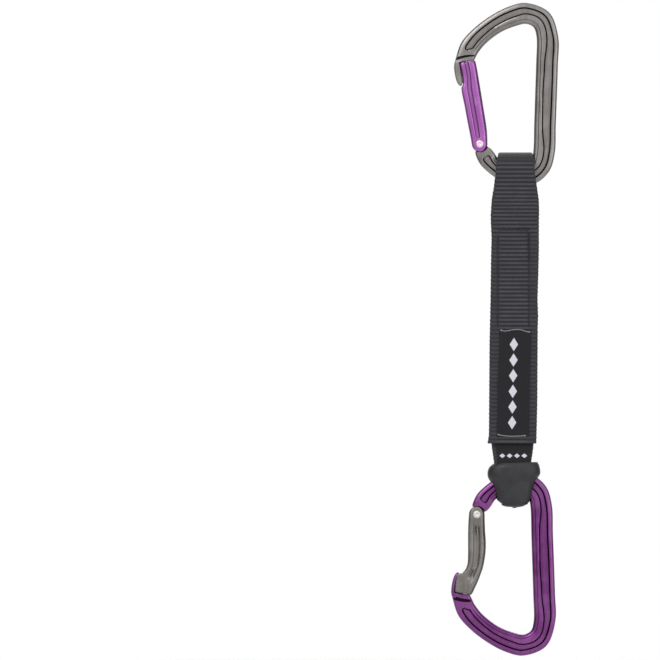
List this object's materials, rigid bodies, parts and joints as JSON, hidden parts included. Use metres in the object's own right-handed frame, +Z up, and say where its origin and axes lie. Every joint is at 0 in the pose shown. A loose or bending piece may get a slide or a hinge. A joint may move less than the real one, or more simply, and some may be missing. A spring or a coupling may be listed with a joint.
{
  "type": "climbing quickdraw",
  "caption": "Quickdraw with a straight-gate and a bent-gate carabiner joined by a sewn webbing sling, the lower one held in a rubber keeper.",
  "frame": {"origin": "where a bolt hanger bears, at the inner top of the upper carabiner's bow, in the middle of the bar's depth", "axes": "+Z up along the hanging quickdraw, +X from the gates to the spines, +Y towards the back of the sewn sling"},
  "size_m": [0.056, 0.0204, 0.3383],
  "materials": {
    "grey_anodised": "satin anodised",
    "violet_anodised": "bright satin anodised",
    "purple_anodised": "satin anodised",
    "gunmetal_anodised": "satin anodised",
    "rivet_steel": "polished, peened",
    "spring_steel": "drawn wire",
    "acetal": "turned",
    "nylon_webbing": "ribbed woven nylon",
    "black_tape": "close woven label tape",
    "black_thread": "bonded nylon thread",
    "grey_thread": "polyester thread",
    "moulded_rubber": "matt moulded"
  },
  "bodies": {
    "top_carabiner": {"top_frame": "grey_anodised"},
    "top_gate_body": {"top_gate": "violet_anodised", "top_gate_rivet": "rivet_steel", "top_gate_spring": "spring_steel"},
    "top_plunger": {"top_gate_plunger": "acetal"},
    "sling": {"sling_webbing": "nylon_webbing", "lower_strap": "nylon_webbing", "long_label": "black_tape", "short_label": "black_tape", "rubber_keeper": "moulded_rubber", "seam_row_top": "black_thread", "seam_row_left": "black_thread", "seam_row_right": "black_thread", "seam_row_bottom": "black_thread", "label_stitch_top": "grey_thread", "label_stitch_bottom": "grey_thread"},
    "bottom_carabiner": {"bottom_frame": "purple_anodised"},
    "bottom_gate_body": {"bottom_gate": "gunmetal_anodised", "bottom_gate_rivet": "rivet_steel", "bottom_gate_spring": "spring_steel"},
    "bottom_plunger": {"bottom_gate_plunger": "acetal"}
  },
  "joints": [
    {"name": "top_gate_hinge", "type": "hinge", "parent": "top_carabiner", "child": "top_gate_body", "pos_m": [-0.024, 0, -0.0622], "axis": [0, 1, 0], "range_deg": [0, 32], "stiffness_Nm_per_rad": 0.3, "springref_deg": -8.59},
    {"name": "top_plunger_slide", "type": "slide", "parent": "top_gate_body", "child": "top_plunger", "axis": [-0.153, 0, 0.9882], "range_m": [0, 0.001], "deforming": ["top_gate_spring"]},
    {"name": "sling_swing", "type": "hinge", "parent": "top_carabiner", "child": "sling", "pos_m": [-0.006, 0, -0.07675], "axis": [1, 0, 0], "range_deg": [-90, 90]},
    {"name": "bottom_carabiner_rock", "type": "hinge", "parent": "sling", "child": "bottom_carabiner", "pos_m": [-0.006, 0, -0.2386], "axis": [1, 0, 0], "range_deg": [-15, 15], "stiffness_Nm_per_rad": 0.05},
    {"name": "bottom_gate_hinge", "type": "hinge", "parent": "bottom_carabiner", "child": "bottom_gate_body", "pos_m": [-0.0255, 0, -0.2541], "axis": [0, -1, 0], "range_deg": [0, 32], "stiffness_Nm_per_rad": 0.3, "springref_deg": -8.59},
    {"name": "bottom_plunger_slide", "type": "slide", "parent": "bottom_gate_body", "child": "bottom_plunger", "axis": [0, 0, -1], "range_m": [0, 0.001], "deforming": ["bottom_gate_spring"]}
  ],
  "couplings": [
    {"joint": "top_plunger_slide", "follows": "top_gate_hinge", "m_per_rad": 0.001789},
    {"joint": "bottom_plunger_slide", "follows": "bottom_gate_hinge", "m_per_rad": 0.001789}
  ]
}
